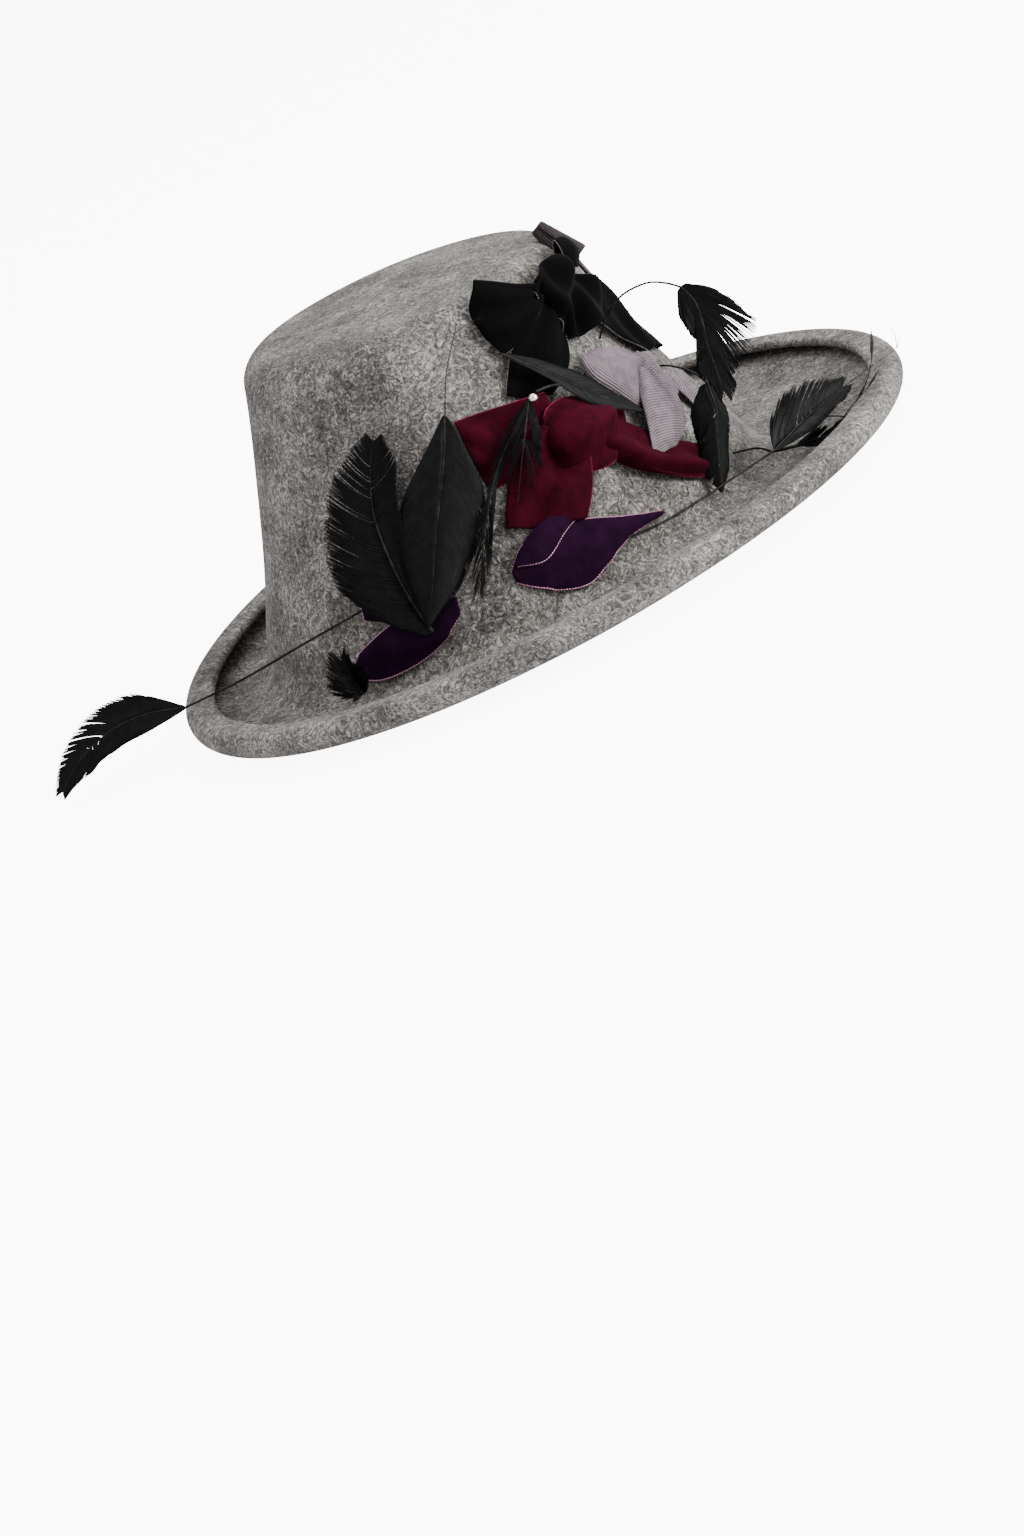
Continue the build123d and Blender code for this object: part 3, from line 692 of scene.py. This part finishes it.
ribbon("burgundy_lower_end", (329, 0.29),
       [[(3, 24, 5), (7, 22, 7), (11, 19, 7.5), (15, 15, 5)],
        [(-7, 14, 3), (0, 11.5, 6.5), (8, 9, 4), (18, 6, 7)],
        [(-14, 4, 2), (-6, 2, 3.2), (3, -1, 6.5), (15, -3, 4.2)],
        [(-18.5, -5, 1.5), (-10.5, -8.5, 2.4), (-2, -11.5, 3), (6.5, -14.5, 1.8)]],
       BURGUNDY_VELVET, ("burgundy_lower_tail",),
       folds=((1.1, 0.8, 1.4, 2.2), (0.5, 1.9, 2.5, 0.6)), edge=BURGUNDY_WIRE, sides=(-1,),
       slant=(-0.3, 0))
ribbon("burgundy_round_loop", (342, 0.45),
       [[(-8.7, 3.5, 4), (-9.2, -0.5, 5.5), (-8.7, -4.5, 5.5), (-8.7, -9.5, 4)],
        [(-3.7, 8, 6), (-3.7, 0.5, 10), (-3.7, -7.5, 10), (-4.7, -15.5, 6)],
        [(5.3, 8.5, 6.5), (7.3, -0.5, 12), (5.3, -9.5, 12), (2.3, -19.5, 6)],
        [(13.3, 4, 4.5), (16.8, -3.5, 7), (14.3, -11.5, 7), (7.3, -19, 4.5)],
        [(4.3, 4.5, 2), (5.3, -2.5, 2.5), (3.3, -8.5, 2.5), (0.3, -16.5, 2)],
        [(-7.7, 1.5, 1.6), (-7.7, -1.5, 1.6), (-7.7, -4.5, 1.6), (-7.7, -8.5, 1.6)]],
       BURGUNDY_VELVET, ("burgundy_loop",),
       folds=((1.8, 0.9, 1.5, 1.0), (0.8, 2.1, 2.2, 0.3)), edge=BURGUNDY_WIRE, slant=(-0.55, 0.1))
ribbon("burgundy_knot_wrap", (356, 0.42),
       [[(-7.5, 4, 4), (-1.5, 5.5, 5), (4.5, 5, 4)], [(-6.5, -2, 4), (-0.5, -1, 6), (5.5, -1, 3.5)],
        [(-5.5, -9, 3), (-1.5, -9, 4), (2.5, -8, 3)]],
       BURGUNDY_VELVET, ("burgundy_knot",), edge=BURGUNDY_WIRE,
       sides=(-1,), slant=(-0.9, 0.2), folds=((0.5, 1.2, 1.4, 0),))
ribbon("burgundy_rolled_loop", (356, 0.22),
       [[(-15.5, 8, 2), (-13.5, 11, 6), (-9.5, 16, 6.5), (-4.5, 20, 2.5)],
        [(-9.5, 0, 2), (-7.5, 3, 7), (-2.5, 8, 7.5), (2.5, 12, 2.5)],
        [(-1.5, -8, 1.8), (0.5, -5.5, 6.5), (4.5, -1, 7), (9.5, 3, 2.2)],
        [(7.5, -15, 1.6), (9.5, -12.5, 5.5), (13.5, -8, 5.5), (17.5, -4, 2)],
        [(17.5, -21, 1.6), (19.5, -18.5, 3.5), (22.5, -15, 3.5), (25.5, -11, 1.6)]],
       BURGUNDY_VELVET, ("burgundy_right_loop",),
       folds=((1.0, 0.3, 2.2, 0.3), (0.4, 2.1, 1.2, 0)), edge=BURGUNDY_WIRE, sides=(0,), slant=(-0.8, 0.2))
ribbon("grey_round_loop", (8, 0.50),
       [[(6.5, 6.4, 1.6), (9.5, -0.6, 1.6), (10.5, -8.6, 1.6)],
        [(-9.5, 9.4, 1.5), (-8.5, -0.6, 1.5), (-2.5, -13.6, 1.5)],
        [(-12.5, 10.4, 3), (-12.5, -1.6, 3.8), (-4.5, -16.1, 3)],
        [(-9.5, 10.4, 5), (-7.5, -0.6, 7.5), (-1.5, -15.1, 5.5)],
        [(0.5, 8.4, 6), (2.5, -0.6, 8.5), (5.5, -11.6, 6.5)],
        [(11.5, 1.4, 5), (13.5, -3.6, 6.5), (14.5, -9.6, 5.5)]],
       GREY_GROSGRAIN, ("grey_loop",), slant=(-1.1, 0.35),
       folds=((0.4, 0.3, 1.6, 0.5),))
ribbon("grey_knot_wrap", (19, 0.40),
       [[(-9.5, 8, 3), (-3.5, 9, 6), (2.5, 8, 6), (7.5, 5, 2.5)],
        [(-11.5, 0, 4), (-4.5, 0, 7), (1.5, -1, 7), (6.5, -2, 3)],
        [(-13.5, -8, 3), (-7.5, -11, 6), (-1.5, -12, 6), (4.5, -11, 2.5)]],
       GREY_GROSGRAIN, ("grey_knot",),
       folds=((0.9, 0.3, 2.5, 0.0), (0.5, 1.4, 1.1, 1.0)), slant=(-1.2, 0.4))
ribbon("grey_front_end", (8, 0.25),
       [[(7, 19.5, 6), (12, 18.5, 8), (17, 16.5, 8), (21, 13.5, 6)],
        [(-1, 10.5, 6), (5, 9.5, 8.5), (11, 6.5, 8.5), (17, 2.5, 6)],
        [(-7, 1.5, 6), (-1, 0.5, 8), (5, -2.5, 8), (11, -5.5, 6)],
        [(-13, -8, 6), (-9, -8.5, 6.6), (-5, -9, 6.6), (-1, -9.5, 6)]],
       GREY_GROSGRAIN, ("grey_front_tail",), slant=(-1.35, 0.4),
       folds=((0.6, 0.5, 1.3, 0),))
ribbon("grey_back_end", (27, 0.22),
       [[(-11, 14, 2.5), (-5, 14.5, 4), (2, 13.5, 2.5)], [(-8, 2, 2), (-2, 2, 3), (4.5, 1, 1.8)],
        [(-6, -13, 1.8), (0, -15, 2.2), (7, -15, 1.6)]],
       GREY_GROSGRAIN, ("grey_back_tail",),
       folds=((0.5, 0.8, 1.2, 0),))
ribbon("purple_right_petal", (330, 0.07),
       [[(-27, 3, 1.6), (-27, 1.2, 1.8), (-26.5, -.6, 1.6)],
        [(-20, 10, 1.6), (-20, 3, 3.2), (-19, -6, 1.6)],
        [(-7, 12, 1.8), (-7, 3, 4), (-6, -12, 1.6)], [(5, 8, 1.8), (5, 1, 3.6), (4, -8, 1.5)],
        [(17, 2.5, 1.8), (17, 0, 2.8), (16, -4.5, 1.6)],
        [(30, -3.2, 2.4), (30, -3.8, 2.4), (30, -4.4, 2.4)]],
       PURPLE_VELVET, ("purple_right_leaf",), edge=PINK_PICOT,
       folds=((0.5, 0.7, 0.8, 0),))
ribbon("purple_right_fold", (330, 0.07),
       [[(-25, 5, 4.2), (-25, 4.5, 4.3), (-24.5, 4, 4.2)], [(-17, 12, 4), (-16, 8, 5.4), (-15, 2, 4.2)],
        [(-6, 14.5, 3.6), (-6, 11, 4.6), (-5, 7.5, 3.8)], [(3, 12, 2.8), (3, 11.3, 2.9), (3, 10.6, 2.8)]],
       PURPLE_VELVET, (), edge=PINK_PICOT, sides=(-1,))
ribbon("purple_left_petal", (286, 0.02),
       [[(-23.5, -6, 1.8), (-23.5, -6.6, 1.8), (-23, -7.2, 1.8)],
        [(-12, 1.5, 1.8), (-12, -4, 3.4), (-11, -11, 1.8)],
        [(0, 7, 1.8), (0, 0, 4.2), (2, -9, 1.8)], [(12, 9.5, 1.8), (12, 3, 4), (13, -4, 1.8)],
        [(21, 8, 1.8), (21, 5, 2.8), (20.5, 2, 1.8)]],
       PURPLE_VELVET, ("purple_left_leaf",), edge=PINK_PICOT,
       folds=((0.5, 0.7, 0.8, 1),))
ribbon("purple_square_end", (284, 0.20),
       [[(-9, 6, 1.6), (-1, 6, 2.4), (8, 5, 1.6)], [(-10, 0, 1.5), (-1, 0, 2.2), (9, -1, 1.5)],
        [(-9.5, -9, 1.4), (-2, -11, 1.8), (9, -12, 1.4)]],
       PURPLE_VELVET, ("purple_square",), edge=PINK_PICOT)


def brown_roll():
    """Ribbon rolled to a flattened loop: one and a fifth turns of an oval carried along its line."""
    start, along = np.array([46.4, 28.8, 113.3]), unit(np.array([0.52, 0.10, -0.85]))
    wide = unit(np.cross(along, [-0.5, 0.75, -0.2]))
    deep = np.cross(along, wide)
    turn = np.linspace(0, 2.4 * np.pi, 73)[:, None]
    run = np.linspace(0.6, 18.4, 25)[None, :]
    width, depth = 2.0 + 0.17 * run + 0.09 * turn, 1.4 + 0.10 * run + 0.12 * turn
    return (start + along * run[..., None] + wide * (width * np.cos(turn))[..., None]
            + deep * (depth * np.sin(turn))[..., None])


loop = piece("brown_rolled_loop", slab("brown_rolled_loop", brown_roll(), 0.7), BROWN_GROSGRAIN, "hat",
             ("brown_loop",))

BOW_OUT = np.array([0, 0, -(FELT + 2.0)])
BOW_PLACE = (90, 0.20)
bow_net = np.array([[(-9, 4, -.2), (-9.5, 0, -1.6), (-9, -4, -.2)],
                    [(-4, 2.6, -.4), (-4, 0, -1.2), (-4, -2.6, -.4)],
                    [(0, 1.2, -.6), (0, 0, -.8), (0, -1.2, -.6)], [(4, 2.6, -.4), (4, 0, -1.2),
                                                                   (4, -2.6, -.4)],
                    [(9, 4, -.2), (9.5, 0, -1.6), (9, -4, -.2)]])
knot_net = np.array([[(-1.9, 2.2, -.6), (0, 2.4, -1.3), (1.9, 2.2, -.6)],
                     [(-1.7, 0, -1.3), (0, 0, -2.4), (1.7, 0, -1.3)],
                     [(-1.9, -2.2, -.6), (0, -2.4, -1.3), (1.9, -2.2, -.6)]])
bow = piece("sweatband_bow_loops",
            slab("sweatband_bow_loops", on_wall(BOW_PLACE, smooth_net(bow_net + BOW_OUT, 61, 17)), 0.6),
            BLACK_GROSGRAIN, "hat", ("sweatband_bow",))
bow_knot = piece("sweatband_bow_knot",
                 slab("sweatband_bow_knot", on_wall(BOW_PLACE, smooth_net(knot_net + BOW_OUT, 21, 21)),
                      0.5),
                 BLACK_GROSGRAIN, "hat")


# ---- feathers ----------------------------------------------------------------------------------
SPINE_STEPS, STEM_STEPS, BARB_STEPS = 90, 60, 8


def feather(name, body, nodes, line, facing, left, right, stem=(), place=None, barbs=150, sweep=38.0,
            clumps=9, split=0.25, curl=0.15, seed=1, finish=PLUME, width=0.45,
            quill=0.5, rag=0.05):
    """Feather with barbs both sides of a spine through given points, root to tip.

    Left and right are the vane's widths beside the spine, so barbs end on that outline. Each
    barb is a slim three-sided strip that starts width / tan(sweep) nearer the root. At a share q
    of its way it lies width * q aside, q ** 1.25 of that run along, and curl * q * q off the
    flat. Barbs of one clump lean together, which parts the vane into locks. With a place the
    feather is laid on the crown's curved side.
    """
    draw = np.random.default_rng(seed)
    facing = unit(np.array(facing, float))
    spine = smooth_line(line, SPINE_STEPS)
    run = run_length(spine)
    share = run / run[-1]
    tangent = unit(np.gradient(spine, axis=0))
    normal = unit(facing - (tangent @ facing)[:, None] * tangent)
    side = np.cross(tangent, normal)

    t = np.tile(np.linspace(0.01, 1.0, barbs), 2)
    t = np.clip(t + draw.uniform(-0.3, 0.3, 2 * barbs) / barbs, 0, 1)
    hand = np.repeat([-1.0, 1.0], barbs)
    widths = [np.interp(t, np.linspace(0, 1, STEM_STEPS),
                        smooth_line(np.array(w, float)[:, None], STEM_STEPS)[:, 0]) for w in (left, right)]
    reach = np.maximum(np.where(hand < 0, *widths) * (1 + draw.uniform(-rag, rag, 2 * barbs)), 0.15)
    lag = np.minimum(reach / np.tan(np.radians(sweep)) / run[-1], t)
    root, ahead, off, aside = [
        np.stack([np.interp(t - lag, share, a[:, k]) for k in range(3)], axis=1)[:, None]
        for a in (spine, tangent, normal, side)]
    reach, lag = reach[:, None], lag[:, None] * run[-1]
    lock = np.minimum((t * clumps + (hand > 0) * 0.37).astype(int), clumps) + (hand > 0) * (clumps + 1)
    lean = draw.uniform(-1, 1, 2 * clumps + 2)[lock][:, None]
    rise = draw.uniform(-1, 1, 2 * clumps + 2)[lock][:, None]
    q = np.linspace(0, 1, BARB_STEPS)[None, :]
    lateral = reach * (1.12 * q - 0.12 * q**2) * (1 - split * 0.35 * np.abs(lean) * q**2)
    forward = lag * q**1.25 + reach * split * lean * q**2
    lift = reach * (curl * q**2 + 0.35 * split * rise * q**1.5)
    path = (root + aside * (hand[:, None] * lateral)[..., None] + ahead * forward[..., None]
            + off * lift[..., None])
    along = unit(np.gradient(path, axis=1))
    flat = unit(np.cross(np.broadcast_to(off, along.shape), along))
    half = (width / 2 * (1 - 0.75 * q**3))[..., None]
    strip = np.stack([path - flat * half, path + flat * half + off * 0.07,
                      path + off * (0.16 * (1 - 0.6 * q))[..., None]], axis=2)
    shaft = spine
    if len(stem):
        bare = smooth_line(list(stem) + [tuple(line[0])], STEM_STEPS)
        shaft = np.concatenate([bare[:-1], spine])
    taper = np.linspace(1, 0, len(spine)) ** 0.7 * 0.75 + 0.25
    radius = quill * np.concatenate([np.ones(len(shaft) - len(spine)), taper])
    shaft = tube_sections(shaft, radius, 8)
    if place:
        strip, shaft = on_wall(place, strip), on_wall(place, shaft)
    piece(name + "_vane", tubes(name + "_vane", strip), finish, body, nodes)
    piece(name + "_quill", tubes(name + "_quill", shaft[None]), QUILL, body)


FLAT = (0, 0, 1)
feather("curled_plume", "hat", ("curled_feather",),
        [(2, -41, 5), (-2, -25, 7), (-4.5, -8.6, 8), (-4.8, 4.8, 8.5), (-2, 18, 8.5), (2.5, 30, 8)], FLAT,
        [2, 10, 15.5, 16.5, 14, 10.5, 2.5], [1, 4, 5.5, 7.5, 9.8, 9.5, 3], place=(292, 0.41), barbs=460,
        sweep=44,
        clumps=12, split=0.07, curl=0.15, seed=3, width=0.5)
feather("satin_leaf", "hat", ("leaf_feather",),
        [(10.3, 29.8, 8), (5.9, 18.6, 9), (0.2, 5.7, 9.5), (-6, -9.3, 9.5), (-11, -24.5, 9),
         (-15, -36, 8)], FLAT,
        [0.4, 7.5, 12.5, 13, 9, 0.4], [0.4, 6.7, 12.3, 11.2, 7.4, 0.4], place=(305, 0.38), barbs=400,
        sweep=30, clumps=3, split=0.02, curl=-0.12, seed=5, finish=SATIN_PLUME,
        width=0.5, rag=0.01, quill=0.4)
feather("pointed_plume", "hat", ("pointed_feather",),
        [(-20.5, 21.5, 7), (-10, 8, 8), (1, -9, 8.5), (11.5, -22.8, 8)], FLAT,
        [0.4, 2.6, 3.6, 4.6, 3.2, 0.4], [0.3, 1.2, 2.6, 4.0, 3.0, 0.3], place=(350, 0.57), barbs=260,
        sweep=24,
        clumps=4, split=0.05, curl=0.05, seed=7, finish=SATIN_PLUME, quill=0.4)
feather("fluffy_tuft", "hat", ("tuft_feather",),
        [(18.5, -121.5, 11.0), (17.3, -122.3, 17.0), (16.0, -121.3, 23.3), (15.8, -119.7, 28.3)],
        (0.65, -0.70, 0.3), [2.5, 6.5, 7, 5, 2.5], [1.5, 5, 5.5, 4, 2], barbs=300, sweep=28, clumps=9,
        split=0.3,
        curl=0.5, seed=9, width=0.3, rag=0.3, quill=0.3)
feather("fringe_short", "fringe", ("fringe_feather_short",),
        [(69.8, -40.0, 73.1), (69.2, -45.6, 67.0), (68.7, -51.1, 61.0), (67.9, -55.9, 55.5)],
        (0.75, -0.58, 0.32), [0.8, 3.5, 5.5, 6], [0.8, 2.6, 4.5, 5], barbs=90, sweep=15, clumps=12,
        split=0.15,
        curl=0.05, seed=11, width=0.4, quill=0.35, rag=0.25)
feather("fringe_hair", "fringe", (),
        [(68.8, -49.5, 62.9), (67.8, -56.2, 54.9), (67.3, -63.8, 46.6)], (0.75, -0.58, 0.32),
        [6, 6.5, 6, 5],
        [5, 5, 4.5, 4], barbs=13, sweep=9, clumps=9, split=0.2, curl=0.05, seed=12, width=0.3, quill=0.2,
        rag=0.3)
feather("fringe_long", "fringe", ("fringe_feather_long",),
        [(69.3, -40.0, 72.7), (65.6, -49.3, 66.5), (61.5, -59.4, 58.4), (59.6, -69.2, 49.6),
         (57.4, -79.1, 37.7), (55.1, -90.6, 23.4)],
        (0.72, -0.60, 0.36), [0.6, 2.8, 3.3, 2, 2.2, 4, 3.6, 1.8], [0.6, 2, 2.4, 1.4, 1.5, 2.6, 2.6, 1.6],
        barbs=120,
        sweep=12, clumps=14, split=0.25, curl=0.05, seed=13, width=0.32, quill=0.35, rag=0.3)
feather("long_front_plume", "long_front", ("long_front_feather",),
        [(-65.2, -119.8, 17.2), (-75.3, -125.8, 19.9), (-86.4, -133.2, 20.2), (-95.8, -142.2, 16.9),
         (-102.1, -149.4, 11.7), (-106.2, -154.9, 5.5)],
        (0.6, -0.65, 0.5), [0.5, 5, 9, 10.5, 9.5, 5.5, 1.5], [0.5, 4.5, 7.5, 8, 7, 5, 2],
        stem=[(11.0, -95.9, 31.2), (-15, -104, 26), (-42, -113, 20.5)], barbs=440, sweep=33, clumps=7,
        split=0.09, curl=0.06, seed=17, quill=0.42, width=0.55)
feather("long_back_plume", "long_back", ("long_back_feather",),
        [(103.8, 29.9, 12.9), (105.3, 37.2, 14.1), (107.4, 49.7, 15.6), (110.9, 61.6, 16.6),
         (114.0, 72.9, 17.3)],
        (0.65, -0.60, 0.45), [1, 6, 10, 10, 9, 5.5, 2.5], [0.6, 2.5, 4.5, 5.5, 5, 3.5, 1.5],
        stem=[(83.0, -38.0, 16.8), (86.5, -22.5, 13.8), (91.0, -4.0, 12.4)], barbs=300, sweep=24, clumps=6,
        split=0.24, curl=0.15, seed=19, quill=0.42, width=0.5, rag=0.15)
feather("arch_upper_plume", "arch_upper", ("arch_feather_upper",),
        [(97.3, 26.4, 79.6), (100.3, 26.4, 73.2), (101.5, 24.2, 65.8), (101.8, 21.1, 58.0),
         (103.3, 18.3, 48.5), (104.2, 15.0, 39.0)],
        (0.62, -0.74, 0.2), [2, 7, 9.5, 10, 9, 6, 2], [2, 7.5, 9, 8, 6, 4, 1.5],
        stem=[(67.5, 10.8, 73.2), (73, 13, 80.0), (80.5, 15.5, 85.0), (89, 19.5, 86.0), (94.5, 22.5, 83.6)],
        barbs=440, sweep=22, clumps=8, split=0.10, curl=0.06, seed=23, quill=0.4, width=0.6)
feather("arch_lower_plume", "arch_lower", ("arch_feather_lower",),
        [(92.1, 24.8, 44.1), (93.4, 22.2, 35.3), (92.9, 17.4, 26.4), (93.1, 11.6, 17.5), (93.2, 6.6, 9.8)],
        (0.75, -0.60, 0.25), [0.5, 2.8, 3.4, 3.8, 3, 0.4], [2.5, 8.5, 9.8, 10, 7, 0.4],
        stem=[(68.5, 27.8, 54.1), (77.5, 29.0, 51.7), (88.0, 25.5, 48.5)], barbs=340, sweep=26, clumps=4,
        split=0.02, curl=-0.25, seed=29, finish=SATIN_PLUME, quill=0.4)
feather("spray_plume", "spray", ("spray_feather",),
        [(95.4, 39.2, 9.1), (101.9, 44.9, 7.4), (107.3, 48.9, 7.1), (110.9, 52.8, 6.5), (115.0, 58.0, 8.4)],
        (0.65, -0.60, 0.45), [0.3, 0.5, 0.7, 3.2, 2.6, 0.8], [0.3, 0.4, 0.6, 2.6, 2.4, 0.8],
        stem=[(86.2, 29.4, 15.2), (92, 36, 12.8)], barbs=130, sweep=26, clumps=5, split=0.3, curl=0.25,
        seed=31,
        width=0.6, quill=0.4, rag=0.2)


def bare_stem(name, points, radius, body="hat", blade=0.0):
    """Fine stripped stem through given points, thinning to four tenths of its radius.

    A blade swells it to radius + blade three quarters of the way along, as a sine's square.
    """
    line = smooth_line(points, STEM_STEPS)
    t = np.linspace(0, 1, STEM_STEPS)
    taper = radius * (1 - 0.6 * t) + blade * np.sin(np.pi * np.clip((t - 0.55) / 0.43, 0, 1)) ** 2
    piece(name, tubes(name, tube_sections(line, taper, 8, flat=0.45)[None]), QUILL, body)


bare_stem("satin_leaf_stem", [(51.5, -62, 80.8), (51.3, -56.5, 87.5), (51.8, -51.3, 93.9),
                              (52.8, -43, 101.4),
                              (53.7, -34.5, 108.4)], 0.35)
bare_stem("satin_leaf_side_stem", [(53.0, -41.5, 102.6), (56, -37.5, 103.6), (60, -32.5, 103.4)], 0.3)
bare_stem("long_back_tip", [(114.0, 72.9, 17.3), (117.8, 84.1, 17.6), (121.9, 95.2, 18.2)],
          0.35, "long_back")
bare_stem("long_back_hair_left", [(121.9, 95.2, 18.2), (121.7, 97.2, 22.1), (120.3, 98.4, 26.3)],
          0.3, "long_back")
bare_stem("long_back_hair_right", [(121.9, 95.2, 18.2), (122.6, 97.1, 20.0), (122.4, 98.6, 22.5)],
          0.25, "long_back")
bare_stem("spray_blade_tall", [(116.1, 58.3, 9.2), (120.2, 64.5, 12.6), (124.4, 71.7, 20.2),
                               (126.0, 76.2, 27.2), (126.3, 80.1, 33.6)],
          0.3, "spray", 0.8)
bare_stem("spray_blade_long", [(113.4, 56.5, 7.8), (118.3, 63.6, 11.3), (122.7, 69.8, 15.1),
                               (126.1, 76.3, 19.2)],
          0.35, "spray", 0.5)
bare_stem("spray_blade_short", [(110.4, 56.1, 12.2), (113.6, 58.3, 10.5), (117.2, 60.8, 8.2),
                                (121.3, 64.9, 7.0)],
          0.7, "spray", 1.1)
bare_stem("spray_blade_bent", [(113.4, 56.5, 7.8), (117.3, 61.6, 11.3), (120.0, 65.2, 13.1),
                               (121.9, 68.1, 16.0)],
          0.5, "spray", 0.8)
